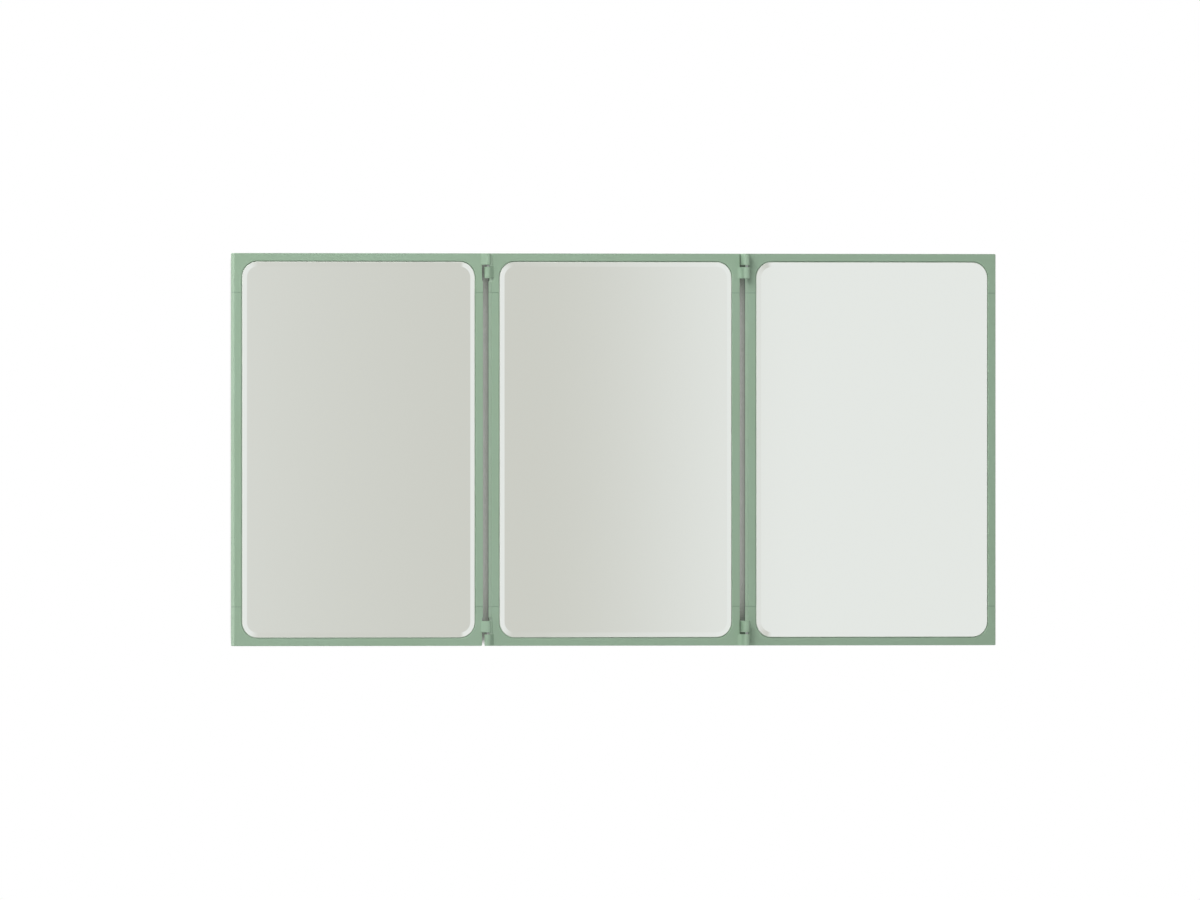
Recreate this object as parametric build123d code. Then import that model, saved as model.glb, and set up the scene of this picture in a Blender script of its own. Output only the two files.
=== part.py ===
from build123d import *
import os
from math import acos, atan2, cos, sin

# Three-leaf wall mirror: a centre panel that hangs on the wall, and two wings that swing
# forward on lift-off hinges. Millimetres, X to the right, Y to the wall, Z up.
# The origin is midway between the two keyholes, on the outer face of their plates.

# Driving dimensions of one panel
panel_width = 262.0
panel_height = 400.0
panel_depth = 13.0
panel_gap = 9.1
end_leg = 40.0
corner_round = 1.0
arris_round = 0.5
lip_round = 0.8
seam_chamfer = 0.2

# Mirror glass and the recess that it lies in
frame_reveal = 8.5
glass_corner = 16.0
glass_thickness = 4.0
glass_set_back = 0.2
glass_clearance = 0.5
bevel_width = 5.0
bevel_drop = 1.0
tape_thickness = 1.0
tape_width = 6.0
tape_inset = 1.2
tape_end_gap = 24.0
ledge_width = 9.0
ledge_thickness = 2.0

# Back board, its rim and screws
board_thickness = 3.0
board_rim = 1.5
board_clearance = 0.3
board_corner = 2.0
screw_shank_radius = 1.45
screw_head_radius = 2.8
screw_head_depth = 1.5
screw_length = 9.0
screw_thread_clearance = 0.02
screw_hole_clearance = 0.25
screw_inset = 4.8
screw_end_inset = 21.0
screw_columns = 3
screw_slot_length = 3.2
screw_slot_width = 0.7
screw_slot_depth = 0.8
pilot_spare_depth = 0.5

# Joining keys inside the butt joints of the frame
key_width = 3.8
key_depth = 6.4
key_reach = 16.0
key_clearance = 0.05
key_outer_wall = 2.4
key_front_wall = 1.8

# Hinges
barrel_radius = 3.4
knuckle_length = 11.6
knuckle_gap = 2.1
pin_radius = 1.3
pin_running_clearance = 0.05
pin_end_play = 0.15
pin_tip_round = 0.5
knuckle_cap = 2.0
knuckle_chamfer = 0.35
fold_clearance = 3.2
stack_clearance = 1.3
hinge_relief = 1.0
relief_margin = 2.0
relief_slope = 2.0
lug_foot = 7.0
lug_ramp = 1.2
lug_cove = 4.0
lug_root = 1.2

# Hangers and wall bumpers
hanger_inset = 51.0
hanger_below_top = 60.0
hanger_width = 22.0
hanger_height = 50.0
hanger_thickness = 1.2
hanger_corner = 4.0
keyhole_entry_radius = 5.0
keyhole_slot_width = 5.0
keyhole_slot_rise = 10.0
head_room = 2.0
rivet_pitch = 39.0
rivet_radius = 1.6
rivet_head_radius = 3.2
rivet_head_height = 0.9
rivet_crown_radius = 1.9
rivet_tail_length = 1.6
rivet_tail_radius = 2.3
rivet_clearance = 0.05
bumper_height = 3.5
bumper_radius = 5.0
bumper_tip_radius = 4.0
bumper_round = 0.8
bumper_inset = 24.0

# Sizes that follow from those above
glass_width = panel_width - 2 * frame_reveal
glass_height = panel_height - 2 * frame_reveal
recess_width = glass_width + 2 * glass_clearance
recess_height = glass_height + 2 * glass_clearance
recess_corner = glass_corner + glass_clearance
ledge_front = glass_set_back + glass_thickness + tape_thickness
ledge_back = ledge_front + ledge_thickness
land_width = frame_reveal - glass_clearance
ledge_reach = land_width + ledge_width
window_width = panel_width - 2 * ledge_reach
window_height = panel_height - 2 * ledge_reach
window_corner = glass_corner - ledge_width + glass_clearance
board_front = panel_depth - board_thickness
board_width = panel_width - 2 * (board_rim + board_clearance)
board_height = panel_height - 2 * (board_rim + board_clearance)
seam_z = panel_height / 2 - end_leg
hinge_zone = 2 * knuckle_length + knuckle_gap
relief_length = hinge_zone + relief_margin
low_pin_forward = fold_clearance / 2
folded_stack = fold_clearance + panel_depth + bumper_height + stack_clearance
tall_pin_forward = folded_stack / 2
panel_pitch = panel_width + panel_gap
hanger_spacing = panel_width - 2 * hanger_inset
back_y = -hanger_thickness
front_y = back_y - panel_depth
panel_z = hanger_below_top - panel_height / 2

UPWARD = (0, 0, 1)
TOP = 1
BOTTOM = -1
LEFT = -1
RIGHT = 1


def standing(outline, depth_from, depth_to):
    """Extrude an outline drawn in X and Z from one depth behind the front face to another."""
    facing = Plane((0, depth_to, 0), x_dir=(1, 0, 0), z_dir=(0, -1, 0))
    return extrude(facing * outline, amount=depth_to - depth_from)


def rising(section, z_from, z_to):
    """Extrude a section drawn in X and depth from one height to another."""
    return extrude(Pos(0, 0, z_from) * section, amount=z_to - z_from, dir=UPWARD)


def placed(shape, panel_x):
    """Move a shape from a panel's own coordinates to its place in the mirror."""
    return Pos(panel_x, front_y, panel_z) * shape


def tangent_point(point, centre, radius, turn):
    """Where the tangent from a point meets a circle, on the side that turn (1 or -1) picks."""
    dx, dy = point[0] - centre[0], point[1] - centre[1]
    reach = (dx * dx + dy * dy) ** 0.5
    angle = atan2(dy, dx) + turn * acos(radius / reach)
    return centre[0] + radius * cos(angle), centre[1] + radius * sin(angle)


def low_knuckle_section():
    """Barrel just in front of the panel's face, with a lug that runs into the panel's side."""
    centre = (panel_gap / 2, -low_pin_forward)
    ramp_foot = (-hinge_relief - lug_ramp, 0)
    back_foot = (-hinge_relief - lug_ramp, lug_foot)
    front_touch = tangent_point(ramp_foot, centre, barrel_radius, 1)
    back_touch = tangent_point(back_foot, centre, barrel_radius, -1)
    lug = Polygon(ramp_foot, front_touch, centre, back_touch, back_foot, align=None)
    return lug + Pos(*centre) * Circle(barrel_radius)


def tall_knuckle_section():
    """Barrel carried clear of a folded wing, on a bracket that fills the gap and rises from the face with a cove."""
    centre = (panel_gap / 2, -tall_pin_forward)
    near_side = panel_gap / 2 - barrel_radius
    far_side = panel_gap / 2 + barrel_radius
    cove_start = near_side - lug_cove
    bracket = Polygon(
        (cove_start, 0),
        (near_side, -lug_cove),
        (near_side, -tall_pin_forward),
        (far_side, -tall_pin_forward),
        (far_side, lug_foot),
        (-lug_root, lug_foot),
        (-lug_root, lug_root),
        (cove_start, lug_root),
        align=None,
    )
    hollow = Pos(cove_start, -lug_cove) * Circle(lug_cove)
    return bracket - hollow + Pos(*centre) * Circle(barrel_radius)


def knuckle_span(end, upper):
    """Lowest and highest Z of a knuckle at the top or bottom end of a panel."""
    low = panel_height / 2 - hinge_zone if end == TOP else -panel_height / 2
    if upper:
        low += knuckle_length + knuckle_gap
    return low, low + knuckle_length


def knuckle(side, tall, end, upper):
    """One hinge knuckle in panel coordinates, with its blind bore for the pin."""
    section = tall_knuckle_section() if tall else low_knuckle_section()
    low, high = knuckle_span(end, upper)
    body = rising(section, low, high)
    rims = body.faces().sort_by(Axis.Z)[0].edges() + body.faces().sort_by(Axis.Z)[-1].edges()
    body = chamfer(rims, knuckle_chamfer)
    forward = tall_pin_forward if tall else low_pin_forward
    bore_radius = pin_radius + (pin_running_clearance if upper else 0)
    bore_low = low if upper else low + knuckle_cap
    bore_high = high - knuckle_cap if upper else high
    bore = rising(Pos(panel_gap / 2, -forward) * Circle(bore_radius), bore_low, bore_high)
    body = Pos(panel_width / 2, 0, 0) * (body - bore)
    return body if side == RIGHT else mirror(body, about=Plane.YZ)


def end_outline(relief_sides):
    """Front outline of an upper end piece, stepped back on the sides that a low hinge needs."""
    top = panel_height / 2
    step_z = top - relief_length
    points = [(-panel_width / 2, seam_z), (panel_width / 2, seam_z)]
    right_side = [(panel_width / 2, top)]
    left_side = [(-panel_width / 2, top)]
    edge_x = panel_width / 2
    relief = [(edge_x, step_z - relief_slope), (edge_x - hinge_relief, step_z), (edge_x - hinge_relief, top)]
    if RIGHT in relief_sides:
        right_side = relief
    if LEFT in relief_sides:
        left_side = [(-x, z) for x, z in reversed(relief)]
    outline = Polygon(*points, *right_side, *left_side, align=None)
    rounded = outline.vertices().filter_by(lambda v: v.Y > seam_z + 1)
    return fillet(rounded, corner_round)


def key_section(grow):
    """Section of a joining key, or of its socket where grow is the clearance."""
    centre_x = panel_width / 2 - key_outer_wall - key_clearance - key_width / 2
    centre_depth = key_front_wall + key_clearance + key_depth / 2
    return Pos(centre_x, centre_depth) * Rectangle(key_width + 2 * grow, key_depth + 2 * grow)


def screw_places(end):
    """X and Z of the back screws in one end piece."""
    half = panel_width / 2 - screw_end_inset
    z = end * (panel_height / 2 - screw_inset)
    return [(-half + 2 * half * i / (screw_columns - 1), z) for i in range(screw_columns)]


def bumper_places():
    """X and Z of the four bumpers on the back of a panel."""
    half_x = panel_width / 2 - bumper_inset
    half_z = panel_height / 2 - bumper_inset
    return [(x, z) for x in (-half_x, half_x) for z in (-half_z, half_z)]


def seam_rim(body, seam):
    """Edges of a butt joint that show: across the front face, round its arris and down the side."""
    ring = body.edges().filter_by_position(Axis.Z, seam - 0.01, seam + 0.01)
    outer_x = panel_width / 2 - arris_round
    return ring.filter_by(lambda edge: edge.center().Y < arris_round or abs(edge.center().X) > outer_x)


def front_edges(body):
    """Edges of an end piece's front face, without the one at the butt joint."""
    ring = body.edges().filter_by_position(Axis.Y, -0.01, 0.01)
    return ring.filter_by(lambda edge: edge.center().Z > seam_z + 0.01)


def end_piece(end, hinges):
    """Cast end of a panel frame: rail, two legs, glass ledge, key sockets and knuckles."""
    blank = standing(end_outline([side for side, tall, upper in hinges if not tall]), 0, panel_depth)
    blank = fillet(front_edges(blank), arris_round)
    blank -= standing(RectangleRounded(recess_width, recess_height, recess_corner), -1, ledge_front)
    lip = front_edges(blank).filter_by(lambda edge: abs(edge.center().X) < recess_width / 2 + 0.01)
    lip = lip.filter_by(lambda edge: edge.center().Z < recess_height / 2 + 0.01)
    blank = fillet(lip, lip_round)
    blank = chamfer(seam_rim(blank, seam_z), seam_chamfer)
    blank -= standing(RectangleRounded(window_width, window_height, window_corner), 0, panel_depth)
    land_open = RectangleRounded(panel_width - 2 * land_width, panel_height - 2 * land_width, glass_corner)
    blank -= standing(land_open, ledge_back, panel_depth)
    board_open = RectangleRounded(panel_width - 2 * board_rim, panel_height - 2 * board_rim, board_corner)
    blank -= standing(board_open, board_front, panel_depth + 1)
    for turn in (LEFT, RIGHT):
        socket = rising(key_section(key_clearance), seam_z - 1, seam_z + key_reach + key_clearance)
        blank -= socket if turn == RIGHT else mirror(socket, about=Plane.YZ)
    if end == BOTTOM:
        blank = mirror(blank, about=Plane.XY)
    pilot_radius = screw_shank_radius + screw_thread_clearance
    pilot_end = panel_depth - screw_length - pilot_spare_depth
    for x, z in screw_places(end):
        blank -= standing(Pos(x, z) * Circle(pilot_radius), pilot_end, panel_depth)
    for side, tall, upper in hinges:
        blank += knuckle(side, tall, end, upper)
    return blank


def stile(side):
    """Straight frame member between the two end pieces, one section along its whole length."""
    edge = panel_width / 2
    section = Polygon(
        (edge, 0),
        (edge, panel_depth),
        (edge - board_rim, panel_depth),
        (edge - board_rim, board_front),
        (edge - land_width, board_front),
        (edge - land_width, ledge_back),
        (edge - ledge_reach, ledge_back),
        (edge - ledge_reach, ledge_front),
        (edge - land_width, ledge_front),
        (edge - land_width, 0),
        align=None,
    )
    arris = section.vertices().filter_by(lambda v: v.X > edge - 0.01 and v.Y < 0.01)
    section = fillet(arris, arris_round)
    lip = section.vertices().filter_by(lambda v: v.X < edge - land_width + 0.01 and v.Y < 0.01)
    section = fillet(lip, lip_round) - key_section(key_clearance)
    body = rising(section, -seam_z, seam_z)
    for z in (-seam_z, seam_z):
        body = chamfer(seam_rim(body, z), seam_chamfer)
    return body if side == RIGHT else mirror(body, about=Plane.YZ)


def glass():
    """Mirror glass with rounded corners and a bevel all round its front face."""
    rim_depth = glass_set_back + bevel_drop
    outline = RectangleRounded(glass_width, glass_height, glass_corner)
    face = RectangleRounded(
        glass_width - 2 * bevel_width, glass_height - 2 * bevel_width, glass_corner - bevel_width)
    slab = standing(outline, rim_depth, glass_set_back + glass_thickness)
    facing = Plane((0, rim_depth, 0), x_dir=(1, 0, 0), z_dir=(0, -1, 0))
    raised = Plane((0, glass_set_back, 0), x_dir=(1, 0, 0), z_dir=(0, -1, 0))
    return slab + loft([(facing * outline).face(), (raised * face).face()], ruled=True)


def glass_tape():
    """Four strips of foam tape between the glass and the ledge."""
    depth = ledge_front - tape_thickness
    side_x = glass_width / 2 - tape_inset - tape_width / 2
    end_z = glass_height / 2 - tape_inset - tape_width / 2
    tall_strip = Rectangle(tape_width, glass_height - 2 * tape_end_gap)
    wide_strip = Rectangle(glass_width - 2 * tape_end_gap, tape_width)
    strips = []
    for sign in (-1, 1):
        strips.append(standing(Pos(sign * side_x, 0) * tall_strip, depth, ledge_front))
        strips.append(standing(Pos(0, sign * end_z) * wide_strip, depth, ledge_front))
    return strips


def board(with_hangers):
    """Back board in the rim of the frame, countersunk for its screws."""
    body = standing(RectangleRounded(board_width, board_height, board_corner), board_front, panel_depth)
    shank_hole = screw_shank_radius + screw_hole_clearance
    for end in (TOP, BOTTOM):
        for x, z in screw_places(end):
            body -= standing(Pos(x, z) * Circle(shank_hole), board_front - 1, panel_depth + 1)
            sink = Cone(shank_hole, screw_head_radius, screw_head_depth, align=(Align.CENTER, Align.CENTER, Align.MAX))
            body -= Pos(x, panel_depth, z) * Rot(-90, 0, 0) * sink
    if with_hangers:
        room = SlotOverall(keyhole_slot_rise + 2 * (keyhole_entry_radius + head_room),
                           2 * (keyhole_entry_radius + head_room), rotation=90)
        for sign in (-1, 1):
            x = sign * hanger_spacing / 2
            body -= standing(Pos(x, keyhole_slot_rise / 2 - panel_z) * room, board_front - 1, panel_depth + 1)
            for z in (-rivet_pitch / 2, rivet_pitch / 2):
                hole = Circle(rivet_radius + rivet_clearance)
                body -= standing(Pos(x, z - panel_z) * hole, board_front - 1, panel_depth + 1)
    return body


def screw():
    """Countersunk screw along Y, its head's outer face at Y 0 and its point towards the front."""
    profile = Polygon(
        (0, 0),
        (screw_head_radius, 0),
        (screw_shank_radius, -screw_head_depth),
        (screw_shank_radius, -screw_length + screw_shank_radius),
        (0, -screw_length),
        align=None,
    )
    body = revolve(profile, Axis.Y)
    for angle in (0, 90):
        slot = Box(screw_slot_length, 2 * screw_slot_depth, screw_slot_width)
        body -= Rot(0, angle, 0) * slot
    return body


def back_screws():
    """The screws that hold one back board, all alike."""
    shape = screw()
    places = screw_places(TOP) + screw_places(BOTTOM)
    return [Pos(x, panel_depth, z) * shape for x, z in places]


def bumpers():
    """Four rubber wall bumpers stuck to the back board."""
    profile = Polygon(
        (0, 0),
        (bumper_radius, 0),
        (bumper_tip_radius, bumper_height),
        (0, bumper_height),
        align=None,
    )
    tip = profile.vertices().filter_by(lambda v: v.X > 0.01 and v.Y > 0.01)
    shape = revolve(fillet(tip, bumper_round), Axis.Y)
    return [Pos(x, panel_depth, z) * shape for x, z in bumper_places()]


def joining_keys():
    """Four bars that bridge the butt joints between the stiles and the end pieces."""
    bar = rising(key_section(0), seam_z - key_reach, seam_z + key_reach)
    keys = []
    for shape in (bar, mirror(bar, about=Plane.YZ)):
        keys.append(shape)
        keys.append(mirror(shape, about=Plane.XY))
    return keys


def hinge_pin(side, end):
    """Steel pin, held in the centre panel's knuckle and running in the wing's."""
    low = knuckle_span(end, False)[0] + knuckle_cap
    high = knuckle_span(end, True)[1] - knuckle_cap - pin_end_play
    forward = tall_pin_forward if side == RIGHT else low_pin_forward
    pin = rising(Pos(side * panel_pitch / 2, -forward) * Circle(pin_radius), low, high)
    tip = pin.edges().sort_by(Axis.Z)[-1]
    return fillet(tip, pin_tip_round)


def hanger(side):
    """Steel keyhole plate on the back board of the centre panel."""
    x = side * hanger_spacing / 2
    outline = RectangleRounded(hanger_width, hanger_height, hanger_corner)
    outline -= Circle(keyhole_entry_radius)
    outline -= Pos(0, keyhole_slot_rise / 2) * Rectangle(keyhole_slot_width, keyhole_slot_rise)
    outline -= Pos(0, keyhole_slot_rise) * Circle(keyhole_slot_width / 2)
    for z in (-rivet_pitch / 2, rivet_pitch / 2):
        outline -= Pos(0, z) * Circle(rivet_radius + rivet_clearance)
    return standing(Pos(x, -panel_z) * outline, panel_depth, panel_depth + hanger_thickness)


def hanger_rivets():
    """Four blind rivets through the keyhole plates and the back board."""
    grip = hanger_thickness + board_thickness
    profile = Polygon(
        (0, rivet_head_height),
        (rivet_crown_radius, rivet_head_height),
        (rivet_head_radius, 0),
        (rivet_radius, 0),
        (rivet_radius, -grip),
        (rivet_tail_radius, -grip),
        (rivet_tail_radius, -grip - rivet_tail_length / 2),
        (rivet_radius, -grip - rivet_tail_length),
        (0, -grip - rivet_tail_length),
        align=None,
    )
    shape = revolve(profile, Axis.Y)
    rivets = []
    for sign in (-1, 1):
        for z in (-rivet_pitch / 2, rivet_pitch / 2):
            place = Pos(sign * hanger_spacing / 2, panel_depth + hanger_thickness, z - panel_z)
            rivets.append(place * shape)
    return rivets


def solids_of(shape):
    """The solids of a shape or of a list of shapes, as one compound or one solid."""
    shapes = shape if isinstance(shape, list) else [shape]
    solids = [solid for item in shapes for solid in item.solids()]
    return solids[0] if len(solids) == 1 else Compound(children=solids)


def write(node, shape, panel_x):
    """Write one sub-part at its place in the mirror."""
    export_step(solids_of(placed(solids_of(shape), panel_x)), f"parts/{node}.step")


def write_panel(name, panel_x, hinges, with_hangers):
    """Write every piece that one panel is made of."""
    write(f"{name}_top_end", end_piece(TOP, hinges), panel_x)
    write(f"{name}_bottom_end", end_piece(BOTTOM, hinges), panel_x)
    write(f"{name}_left_stile", stile(LEFT), panel_x)
    write(f"{name}_right_stile", stile(RIGHT), panel_x)
    write(f"{name}_glass", glass(), panel_x)
    write(f"{name}_glass_tape", glass_tape(), panel_x)
    write(f"{name}_back_board", board(with_hangers), panel_x)
    write(f"{name}_back_screws", back_screws(), panel_x)
    write(f"{name}_bumpers", bumpers(), panel_x)
    write(f"{name}_joining_keys", joining_keys(), panel_x)


os.makedirs("parts", exist_ok=True)
# Each hinge is the side that it is on, whether it is the tall kind, and whether the
# panel's own knuckle is the upper one.
write_panel("centre", 0, [(LEFT, False, False), (RIGHT, True, False)], True)
write_panel("left_wing", -panel_pitch, [(RIGHT, False, True)], False)
write_panel("right_wing", panel_pitch, [(LEFT, True, True)], False)
for side_name, side in (("left", LEFT), ("right", RIGHT)):
    write(f"{side_name}_upper_pin", hinge_pin(side, TOP), 0)
    write(f"{side_name}_lower_pin", hinge_pin(side, BOTTOM), 0)
    write(f"{side_name}_hanger", hanger(side), 0)
write("hanger_rivets", hanger_rivets(), 0)
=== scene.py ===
import math

import bpy
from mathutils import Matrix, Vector


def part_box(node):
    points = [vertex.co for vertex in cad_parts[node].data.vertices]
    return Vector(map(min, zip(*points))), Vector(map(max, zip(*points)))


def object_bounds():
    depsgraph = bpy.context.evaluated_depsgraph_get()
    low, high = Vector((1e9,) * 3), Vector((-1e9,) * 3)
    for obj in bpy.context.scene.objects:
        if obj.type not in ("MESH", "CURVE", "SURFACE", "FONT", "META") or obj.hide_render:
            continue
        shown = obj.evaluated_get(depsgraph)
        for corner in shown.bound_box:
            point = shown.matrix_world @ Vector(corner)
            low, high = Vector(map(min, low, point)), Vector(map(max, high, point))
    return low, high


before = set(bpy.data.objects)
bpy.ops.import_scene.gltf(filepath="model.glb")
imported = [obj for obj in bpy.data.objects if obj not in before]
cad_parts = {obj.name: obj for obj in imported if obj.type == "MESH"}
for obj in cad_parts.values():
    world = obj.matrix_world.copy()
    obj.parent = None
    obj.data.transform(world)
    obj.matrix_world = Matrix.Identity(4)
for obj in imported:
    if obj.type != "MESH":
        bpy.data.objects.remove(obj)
cad_low, cad_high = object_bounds()

# Frame of each leaf: two cast end pieces with the hinge knuckles on them, and two straight stiles.
# They are metal, joined by hidden keys, and powder coated in sage green, with a thin line of painted shade
# along each butt joint for its narrow dark gap.
leaves = ("left_wing", "centre", "right_wing")


def add_node(tree, kind, inputs, **settings):
    """Adds a node with its settings, and gives each named input a value or the output that feeds it."""
    node = tree.nodes.new(kind)
    for setting, value in settings.items():
        setattr(node, setting, value)
    for socket, value in inputs.items():
        if isinstance(value, bpy.types.NodeSocket):
            tree.links.new(value, node.inputs[socket])
        else:
            node.inputs[socket].default_value = value
    return node


def screen_colour(red, green, blue):
    """Shader colour that shows as these 8-bit screen values in plain light."""
    def linear(value):
        share = value / 255
        return share / 12.92 if share <= 0.04045 else ((share + 0.055) / 1.055) ** 2.4
    return (linear(red), linear(green), linear(blue), 1)


def new_finish(name, **shader):
    """A new material: returns it, its node tree, its shader and the place on the piece at rest."""
    material = bpy.data.materials.new(name)
    material.use_nodes = True
    tree = material.node_tree
    principled = tree.nodes["Principled BSDF"]
    for socket, value in shader.items():
        principled.inputs[socket.replace("_", " ")].default_value = value
    place = add_node(tree, "ShaderNodeTexCoord", {}).outputs["Object"]
    return material, tree, principled, place


def noise(tree, place, grain, detail=2.0, roughness=0.5):
    """Noise whose grain is the size of one patch, in metres."""
    return add_node(tree, "ShaderNodeTexNoise", {
        "Vector": place, "Scale": 1 / grain, "Detail": detail, "Roughness": roughness}).outputs["Fac"]


def spread(tree, value, low, high, at=(0.3, 0.7)):
    """Maps a value onto low to high from the range at, which by default is the usual range of noise."""
    return add_node(tree, "ShaderNodeMapRange", {
        "Value": value, "From Min": at[0], "From Max": at[1],
        "To Min": low, "To Max": high}).outputs["Result"]


def between(tree, share, first, second):
    """Colour that goes from the first to the second with share."""
    return add_node(tree, "ShaderNodeMix", {0: share, 6: first, 7: second}, data_type="RGBA").outputs[2]


def grain_bump(tree, principled, height, depth, strength=1.0, under=None):
    """Raises the surface by depth metres where height is 1."""
    bump = add_node(tree, "ShaderNodeBump", {"Height": height, "Distance": depth, "Strength": strength})
    if under:
        tree.links.new(under, bump.inputs["Normal"])
    tree.links.new(bump.outputs["Normal"], principled.inputs["Normal"])
    return bump.outputs["Normal"]


def give_finish(material, nodes):
    """Puts a finish on CAD nodes."""
    for name in nodes:
        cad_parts[name].data.materials.clear()
        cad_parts[name].data.materials.append(material)


sage_coat, tree, shader, place = new_finish("sage_powder_coat", Specular_IOR_Level=0.4)
sage = screen_colour(148, 174, 149)
sage_light = screen_colour(150, 176, 153)
# Painted shade: a darker sage along each butt joint stands in for the shadow in the joint's narrow gap.
joint_painted_shade = screen_colour(126, 149, 130)
coat_tone = between(tree, spread(tree, noise(tree, place, 0.09), 0, 1), sage, sage_light)
top_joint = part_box("centre_top_end")[0].z
bottom_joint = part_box("centre_bottom_end")[1].z
joint_half_width = 0.0006
height = add_node(tree, "ShaderNodeSeparateXYZ", {"Vector": place}).outputs["Z"]
from_middle = add_node(tree, "ShaderNodeMath", {
    0: height, 1: (top_joint + bottom_joint) / 2}, operation="SUBTRACT").outputs["Value"]
from_joint = add_node(tree, "ShaderNodeMath", {
    0: add_node(tree, "ShaderNodeMath", {0: from_middle}, operation="ABSOLUTE").outputs["Value"],
    1: (top_joint - bottom_joint) / 2}, operation="SUBTRACT").outputs["Value"]
off_joint = add_node(tree, "ShaderNodeMapRange", {
    "Value": add_node(tree, "ShaderNodeMath", {0: from_joint}, operation="ABSOLUTE").outputs["Value"],
    "From Min": 0, "From Max": joint_half_width}).outputs["Result"]
tree.links.new(between(tree, off_joint, joint_painted_shade, coat_tone), shader.inputs["Base Color"])
tree.links.new(spread(tree, noise(tree, place, 0.004), 0.42, 0.5), shader.inputs["Roughness"])
coarse_peel = grain_bump(tree, shader, noise(tree, place, 0.0022, detail=1), 0.00003)
grain_bump(tree, shader, noise(tree, place, 0.0005, detail=1), 0.00001, under=coarse_peel)
frame_members = ("top_end", "bottom_end", "left_stile", "right_stile")
give_finish(sage_coat, [f"{leaf}_{member}" for leaf in leaves for member in frame_members])

# Joining keys: square-cut lengths of aluminium bar, pressed into sockets across the butt joints.
# They are sawn from drawn bar, so they keep faint lines along their length.
drawn_bar, tree, shader, place = new_finish("drawn_aluminium", Metallic=1.0)
along_bar = add_node(tree, "ShaderNodeMapping", {"Vector": place, "Scale": (1, 1, 0.02)}).outputs["Vector"]
draw_lines = noise(tree, along_bar, 0.0004, detail=3)
tree.links.new(between(tree, draw_lines, screen_colour(190, 192, 195), screen_colour(214, 215, 217)),
               shader.inputs["Base Color"])
tree.links.new(spread(tree, draw_lines, 0.28, 0.42), shader.inputs["Roughness"])
grain_bump(tree, shader, draw_lines, 0.00002)
give_finish(drawn_bar, [f"{leaf}_joining_keys" for leaf in leaves])

# Glass tape: four strips of grey double-sided foam on the ledge, which cushion and hold the glass.
# The foam is closed cell, so its cut sides are finely pitted.
foam, tree, shader, place = new_finish("foam_tape", Roughness=0.9, Specular_IOR_Level=0.2)
foam_cells = add_node(tree, "ShaderNodeTexVoronoi", {"Vector": place, "Scale": 2500.0}).outputs["Distance"]
tree.links.new(between(tree, foam_cells, screen_colour(92, 94, 96), screen_colour(128, 130, 131)),
               shader.inputs["Base Color"])
grain_bump(tree, shader, foam_cells, 0.0001)
give_finish(foam, [f"{leaf}_glass_tape" for leaf in leaves])

# Mirror glass: 4 mm silvered glass with rounded corners and a polished bevel round the front.
# The rim and the sharp edge of the bevel are ground, and show the green of the glass. The back is painted.
mirror_tint = (0.93, 0.945, 0.935, 1)
mirror_glass, tree, shader, place = new_finish("silvered_glass", Base_Color=mirror_tint, Roughness=0.015)
facing = add_node(tree, "ShaderNodeTexCoord", {}).outputs["Normal"]
front_share = add_node(tree, "ShaderNodeSeparateXYZ", {"Vector": facing}).outputs["Y"]
silvered = add_node(tree, "ShaderNodeMath", {0: front_share, 1: -0.5}, operation="LESS_THAN").outputs["Value"]
backed = add_node(tree, "ShaderNodeMath", {0: front_share, 1: 0.5}, operation="GREATER_THAN").outputs["Value"]
ground_rim = screen_colour(224, 234, 220)
sealing_paint = screen_colour(96, 106, 100)
rim_or_back = between(tree, backed, ground_rim, sealing_paint)
glass_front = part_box("centre_glass")[0].y
seam_start = glass_front + 0.00085
seam_full = glass_front + 0.00095
depth = add_node(tree, "ShaderNodeSeparateXYZ", {"Vector": place}).outputs["Y"]
inside_seam = spread(tree, depth, 1, 0, at=(seam_start, seam_full))
polished = add_node(
    tree, "ShaderNodeMath", {0: silvered, 1: inside_seam}, operation="MULTIPLY").outputs["Value"]
tree.links.new(between(tree, polished, rim_or_back, mirror_tint), shader.inputs["Base Color"])
tree.links.new(polished, shader.inputs["Metallic"])
tree.links.new(spread(tree, polished, 0.35, 0.015, at=(0, 1)), shader.inputs["Roughness"])
give_finish(mirror_glass, [f"{leaf}_glass" for leaf in leaves])

# Back boards: 3 mm hardboard let into the rim of the frame, smooth and brown with fine fibres.
# Three countersunk screws along each end hold the board.
hardboard, tree, shader, place = new_finish("brown_hardboard", Specular_IOR_Level=0.25)
fibre_place = add_node(tree, "ShaderNodeMapping", {
    "Vector": place, "Rotation": (0, 0.35, 0), "Scale": (1, 1, 0.25)}).outputs["Vector"]
fibres = noise(tree, fibre_place, 0.0009, detail=5, roughness=0.7)
clouds = noise(tree, place, 0.05, detail=3)
fibre_tone = between(
    tree, spread(tree, fibres, 0, 1), screen_colour(104, 76, 54), screen_colour(142, 108, 79))
board_tone = between(tree, spread(tree, clouds, 0, 0.5), fibre_tone, screen_colour(128, 99, 73))
tree.links.new(board_tone, shader.inputs["Base Color"])
tree.links.new(spread(tree, fibres, 0.62, 0.8), shader.inputs["Roughness"])
grain_bump(tree, shader, fibres, 0.00006)
give_finish(hardboard, [f"{leaf}_back_board" for leaf in leaves])

# Board screws: small countersunk steel screws with a cross recess, blackened with oxide.
# They go through the board into the cast end pieces.
black_steel, tree, shader, place = new_finish("black_oxide", Metallic=0.85)
oxide = noise(tree, place, 0.0006, detail=3)
tree.links.new(between(tree, oxide, screen_colour(34, 34, 36), screen_colour(62, 62, 64)),
               shader.inputs["Base Color"])
tree.links.new(spread(tree, oxide, 0.34, 0.5), shader.inputs["Roughness"])
grain_bump(tree, shader, oxide, 0.00001)
give_finish(black_steel, [f"{leaf}_back_screws" for leaf in leaves])

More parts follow.
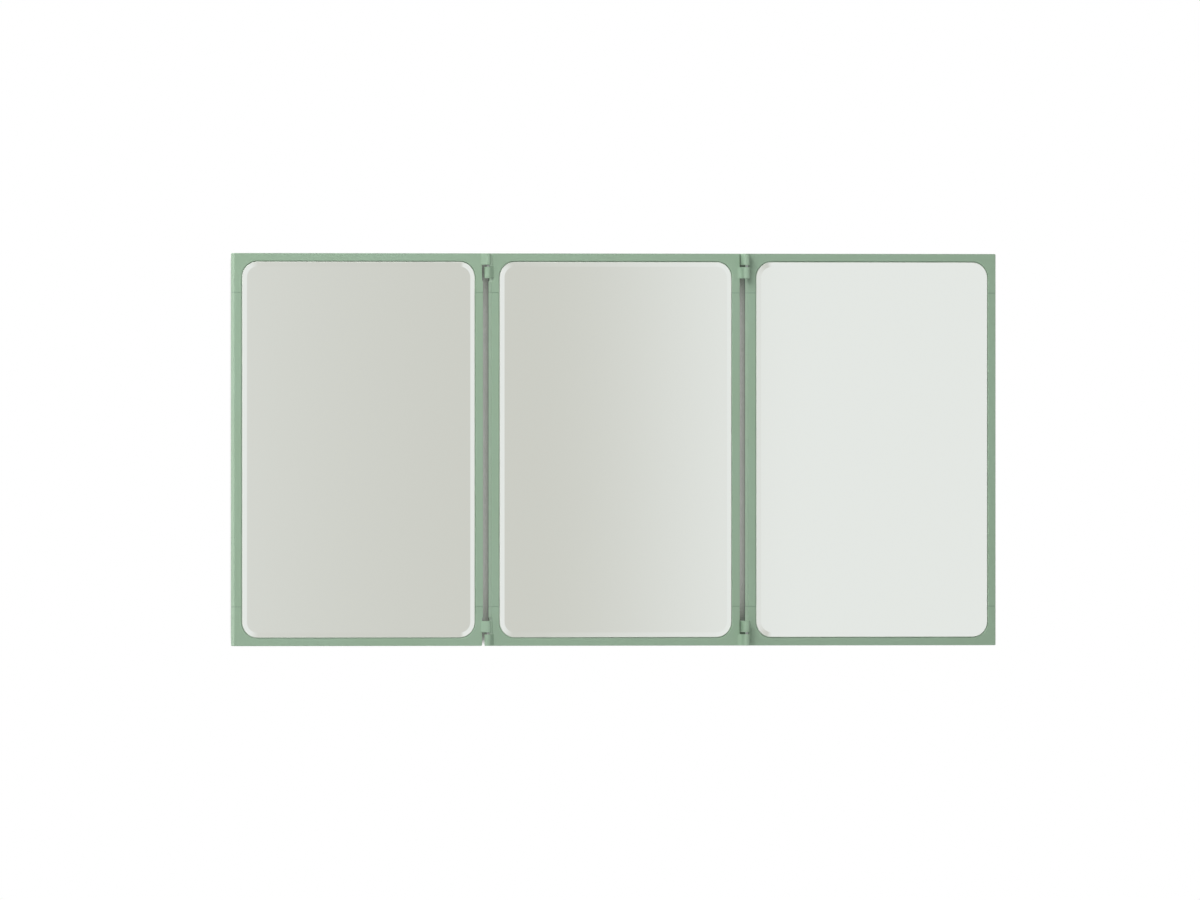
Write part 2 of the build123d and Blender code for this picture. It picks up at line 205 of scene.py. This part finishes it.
# Wall bumpers: moulded grey-black rubber buttons stuck near the corners of each board.
# They keep the frame off the wall, and off the glass when the wings are folded.
rubber, tree, shader, place = new_finish("moulded_rubber", Specular_IOR_Level=0.3)
rubber_skin = noise(tree, place, 0.0005, detail=2)
tree.links.new(between(tree, rubber_skin, screen_colour(46, 46, 47), screen_colour(66, 66, 67)),
               shader.inputs["Base Color"])
tree.links.new(spread(tree, rubber_skin, 0.68, 0.82), shader.inputs["Roughness"])
grain_bump(tree, shader, rubber_skin, 0.00003)
give_finish(rubber, [f"{leaf}_bumpers" for leaf in leaves])

# Hinge pins: turned steel pins pressed into the centre leaf's knuckles, on which the wings lift off.
# They show as a short bright neck between the two knuckles of each hinge.
turned_steel, tree, shader, place = new_finish("turned_steel", Metallic=1.0)
round_pin = add_node(tree, "ShaderNodeMapping", {"Vector": place, "Scale": (0.03, 0.03, 1)}).outputs["Vector"]
turning = noise(tree, round_pin, 0.00015, detail=2)
tree.links.new(between(tree, turning, screen_colour(150, 152, 152), screen_colour(182, 184, 184)),
               shader.inputs["Base Color"])
tree.links.new(spread(tree, turning, 0.24, 0.36), shader.inputs["Roughness"])
grain_bump(tree, shader, turning, 0.00001)
pins = [f"{side}_{height}_pin" for side in ("left", "right") for height in ("upper", "lower")]
give_finish(turned_steel, pins)

# Hangers: two stamped keyhole plates in zinc-plated steel, riveted to the centre board.
# They drop over screw heads in the wall.
zinc, tree, shader, place = new_finish("bright_zinc", Metallic=1.0)
spangle = noise(tree, place, 0.006, detail=4)
zinc_tone = between(
    tree, spread(tree, spangle, 0, 1), screen_colour(176, 181, 188), screen_colour(205, 207, 206))
tree.links.new(zinc_tone, shader.inputs["Base Color"])
tree.links.new(spread(tree, spangle, 0.26, 0.42), shader.inputs["Roughness"])
grain_bump(tree, shader, noise(tree, place, 0.0008), 0.00001)
give_finish(zinc, ["left_hanger", "right_hanger"])

# Rivets: four aluminium blind rivets with domed heads, set through the plates and the board.
satin_rivet, tree, shader, place = new_finish("satin_aluminium", Metallic=1.0)
rivet_skin = noise(tree, place, 0.0004, detail=2)
tree.links.new(between(tree, rivet_skin, screen_colour(196, 198, 200), screen_colour(216, 217, 218)),
               shader.inputs["Base Color"])
tree.links.new(spread(tree, rivet_skin, 0.3, 0.4), shader.inputs["Roughness"])
give_finish(satin_rivet, ["hanger_rivets"])

# Camera: a very long lens to the left of the object and level with its middle, as in the photograph,
# where upright and level edges stay parallel and the left side faces just show.
view_azimuth = math.radians(15)
view_distance = 40.0
view_width = 1.224
aim = Vector((-0.0168, -0.0142, -0.1404))
to_camera = Vector((-math.sin(view_azimuth), -math.cos(view_azimuth), 0))
camera = bpy.data.objects.new("camera", bpy.data.cameras.new("camera"))
camera.data.sensor_width = 36
camera.data.lens = camera.data.sensor_width * view_distance / view_width
camera.data.clip_start = 1
camera.data.clip_end = 90
camera.location = aim + to_camera * view_distance
camera.rotation_euler = (math.radians(90), 0, -view_azimuth)
bpy.context.scene.collection.objects.link(camera)
bpy.context.scene.camera = camera

# Stage wall: a wall that the bumpers rest against, glowing white, with painted shade that makes it grey where
# gaps are narrow and dark green in the narrowest slots.
# It is seen only from the front, not in reflections, and takes no light from the back of the object.
stage_white = (1, 1, 1, 1)


def stage_material(name):
    """A new stage material, its tree cleared down to the output."""
    material = bpy.data.materials.new(name)
    material.use_nodes = True
    tree = material.node_tree
    tree.nodes.remove(tree.nodes["Principled BSDF"])
    return material, tree, tree.nodes["Material Output"]


def stage_plane(name, middle, half_a, half_b, material):
    """A flat four-cornered stage piece about its middle, spanned by two half sides."""
    mesh = bpy.data.meshes.new(name)
    corners = [middle - half_a - half_b, middle + half_a - half_b,
               middle + half_a + half_b, middle - half_a + half_b]
    mesh.from_pydata(corners, [], [(0, 1, 2, 3)])
    mesh.materials.append(material)
    plane = bpy.data.objects.new(name, mesh)
    bpy.context.scene.collection.objects.link(plane)
    return plane


wall_gap = 0.0001
wall_half_width = 3.0
wall_half_height = 2.0
wall_white, tree, output = stage_material("stage_wall")
# Painted shade: the glow follows how open the wall is, so narrow gaps show grey and the narrowest slots dark
# green.
open_share = add_node(tree, "ShaderNodeAmbientOcclusion", {"Distance": 0.1}, samples=16).outputs["AO"]
wall_shade_ramp = add_node(tree, "ShaderNodeValToRGB", {"Fac": open_share})
gap_painted_shade = screen_colour(151, 154, 147)
slot_painted_shade = screen_colour(62, 74, 62)
wall_shade_ramp.color_ramp.elements[0].position = 0.3
wall_shade_ramp.color_ramp.elements[0].color = gap_painted_shade
wall_shade_ramp.color_ramp.elements[1].position = 0.47
wall_shade_ramp.color_ramp.elements[1].color = stage_white
wall_shade_ramp.color_ramp.elements.new(0.12).color = slot_painted_shade
front_side = add_node(tree, "ShaderNodeEmission", {"Color": wall_shade_ramp.outputs["Color"]}).outputs["Emission"]
see_through = add_node(tree, "ShaderNodeBsdfTransparent", {}).outputs["BSDF"]
from_behind = add_node(tree, "ShaderNodeNewGeometry", {}).outputs["Backfacing"]
one_sided = add_node(tree, "ShaderNodeMixShader", {0: from_behind, 1: front_side, 2: see_through})
tree.links.new(one_sided.outputs["Shader"], output.inputs["Surface"])
wall_middle = Vector((0, cad_high.y + wall_gap, 0))
wall = stage_plane(
    "stage_wall", wall_middle, Vector((wall_half_width, 0, 0)), Vector((0, 0, wall_half_height)), wall_white)
wall.visible_diffuse = False
wall.visible_shadow = False
wall.visible_glossy = False

# Stage floor: a pale floor well below the mirror, which keeps the shadow of what stands over it
# and fades to white away from the middle.
floor_drop = 0.9
floor_half = 6.0
fade_start = 3.0
fade_end = 5.5
floor_white, tree, output = stage_material("stage_floor")
paths = add_node(tree, "ShaderNodeLightPath", {})
seen = add_node(tree, "ShaderNodeMath", {
    0: paths.outputs["Is Camera Ray"],
    1: paths.outputs["Is Glossy Ray"]}, operation="MAXIMUM").outputs["Value"]
seen = add_node(tree, "ShaderNodeMath", {
    0: seen, 1: paths.outputs["Is Transmission Ray"]}, operation="MAXIMUM").outputs["Value"]
floor_lit = add_node(tree, "ShaderNodeBsdfDiffuse", {"Color": (0.72, 0.72, 0.72, 1)}).outputs["BSDF"]
floor_place = add_node(tree, "ShaderNodeTexCoord", {}).outputs["Object"]
from_centre = add_node(tree, "ShaderNodeVectorMath", {0: floor_place}, operation="LENGTH").outputs["Value"]
fade = spread(tree, from_centre, 0.45, 1.0, at=(fade_start, fade_end))
glow_strength = add_node(tree, "ShaderNodeMath", {0: seen, 1: fade}, operation="MULTIPLY").outputs["Value"]
floor_glow = add_node(tree, "ShaderNodeEmission", {"Color": stage_white, "Strength": glow_strength})
floor_sum = add_node(tree, "ShaderNodeAddShader", {0: floor_lit, 1: floor_glow.outputs["Emission"]})
tree.links.new(floor_sum.outputs["Shader"], output.inputs["Surface"])
floor = stage_plane("stage_floor", Vector((0, 0, cad_low.z - floor_drop)),
                    Vector((floor_half, 0, 0)), Vector((0, floor_half, 0)), floor_white)
floor.visible_glossy = False

# Stage card: a large upright card to the right in front, which glows and which only the mirrors and gloss
# see, as a painted reflection of a room. It glows pale, with one broad warm shade near its middle.
card_distance = 2.0
card_left = -1.2
card_right = 2.4
card_half_height = 1.6
shade_left = -0.4
shade_middle = 0.43
shade_right = 0.75
card_pale = screen_colour(228, 230, 227)
card_shade = screen_colour(204, 204, 197)
card_paint, tree, output = stage_material("stage_card")
card_place = add_node(tree, "ShaderNodeTexCoord", {}).outputs["Object"]
card_axes = add_node(tree, "ShaderNodeSeparateXYZ", {"Vector": card_place})
across = add_node(tree, "ShaderNodeMapRange", {
    "Value": card_axes.outputs["X"], "From Min": card_left, "From Max": card_right}).outputs["Result"]
card_ramp = add_node(tree, "ShaderNodeValToRGB", {"Fac": across})
ramp = card_ramp.color_ramp
ramp.interpolation = "EASE"
ramp.elements[0].position = (shade_left - card_left) / (card_right - card_left)
ramp.elements[0].color = card_pale
ramp.elements[1].position = (shade_right - card_left) / (card_right - card_left)
ramp.elements[1].color = card_pale
ramp.elements.new((shade_middle - card_left) / (card_right - card_left)).color = card_shade
height = add_node(tree, "ShaderNodeMath", {0: card_axes.outputs["Z"]}, operation="ABSOLUTE").outputs["Value"]
near_rim = add_node(tree, "ShaderNodeMapRange", {
    "Value": height, "From Min": 0.75 * card_half_height, "From Max": card_half_height}).outputs["Result"]
card_colour = between(tree, near_rim, card_ramp.outputs["Color"], card_pale)
# Painted reflection: the card glows in this colour for the mirrors and gloss to reflect.
card_glow = add_node(tree, "ShaderNodeEmission", {
    "Color": card_colour, "Strength": 1 / mirror_tint[0]}).outputs["Emission"]
tree.links.new(card_glow, output.inputs["Surface"])
card_middle = Vector(((card_left + card_right) / 2, -card_distance, aim.z))
card = stage_plane("stage_card", Vector((0, 0, 0)),
                   Vector(((card_right - card_left) / 2, 0, 0)), Vector((0, 0, card_half_height)), card_paint)
for vertex in card.data.vertices:
    vertex.co.x += card_middle.x
card.location = (0, card_middle.y, card_middle.z)
for kind in ("camera", "diffuse", "shadow", "volume_scatter", "transmission"):
    setattr(card, f"visible_{kind}", False)

# Studio lamps: a broad soft key from the left and above, a weak fill from the left side,
# and a soft lamp behind for the hidden side.


def soft_lamp(name, azimuth, elevation, distance, size, power):
    """A square soft box that faces the mirror. Azimuth is from the front, positive to the right."""
    turn, rise = math.radians(azimuth), math.radians(elevation)
    lamp = bpy.data.objects.new(name, bpy.data.lights.new(name, "AREA"))
    lamp.data.size = size
    lamp.data.energy = power
    away = Vector((math.sin(turn) * math.cos(rise), -math.cos(turn) * math.cos(rise), math.sin(rise)))
    lamp.location = aim + away * distance
    lamp.rotation_mode = "QUATERNION"
    lamp.rotation_quaternion = away.to_track_quat("Z", "Y")
    lamp.visible_camera = False
    lamp.visible_glossy = False
    bpy.context.scene.collection.objects.link(lamp)


soft_lamp("key_lamp", -27, 32, 2.5, 1.4, 40)
soft_lamp("side_lamp", -84, 6, 2.5, 1.2, 15)
soft_lamp("back_lamp", 215, 30, 3.0, 2.0, 80)

# Surroundings: white to the camera, pale in reflections, and a plain soft light on the object
# that is stronger from the front and the left.
world = bpy.data.worlds.new("studio")
bpy.context.scene.world = world
world.use_nodes = True
tree = world.node_tree
paths = add_node(tree, "ShaderNodeLightPath", {})
toward = add_node(tree, "ShaderNodeSeparateXYZ", {
    "Vector": add_node(tree, "ShaderNodeTexCoord", {}).outputs["Generated"]})
front_light = add_node(tree, "ShaderNodeMapRange", {
    "Value": toward.outputs["Y"], "From Min": -0.3, "From Max": 0.4,
    "To Min": 0.36, "To Max": 0.12}).outputs["Result"]
side_light = add_node(tree, "ShaderNodeMapRange", {
    "Value": toward.outputs["X"], "From Min": -1, "From Max": 1,
    "To Min": 1.1, "To Max": 0.9}).outputs["Result"]
light_level = add_node(
    tree, "ShaderNodeMath", {0: front_light, 1: side_light}, operation="MULTIPLY").outputs["Value"]
mirrored = add_node(tree, "ShaderNodeMath", {
    0: paths.outputs["Is Glossy Ray"],
    1: paths.outputs["Is Transmission Ray"]}, operation="MAXIMUM").outputs["Value"]
soft_light = add_node(tree, "ShaderNodeBackground", {"Color": stage_white, "Strength": light_level})
pale_room = add_node(tree, "ShaderNodeBackground", {"Color": card_pale, "Strength": 1 / mirror_tint[0]})
white_room = add_node(tree, "ShaderNodeBackground", {"Color": stage_white, "Strength": 1.0})
lit_or_mirrored = add_node(tree, "ShaderNodeMixShader", {
    0: mirrored, 1: soft_light.outputs["Background"], 2: pale_room.outputs["Background"]})
room = add_node(tree, "ShaderNodeMixShader", {
    0: paths.outputs["Is Camera Ray"], 1: lit_or_mirrored.outputs["Shader"],
    2: white_room.outputs["Background"]})
tree.links.new(room.outputs["Shader"], tree.nodes["World Output"].inputs["Surface"])

bpy.context.scene.view_settings.view_transform = "Standard"
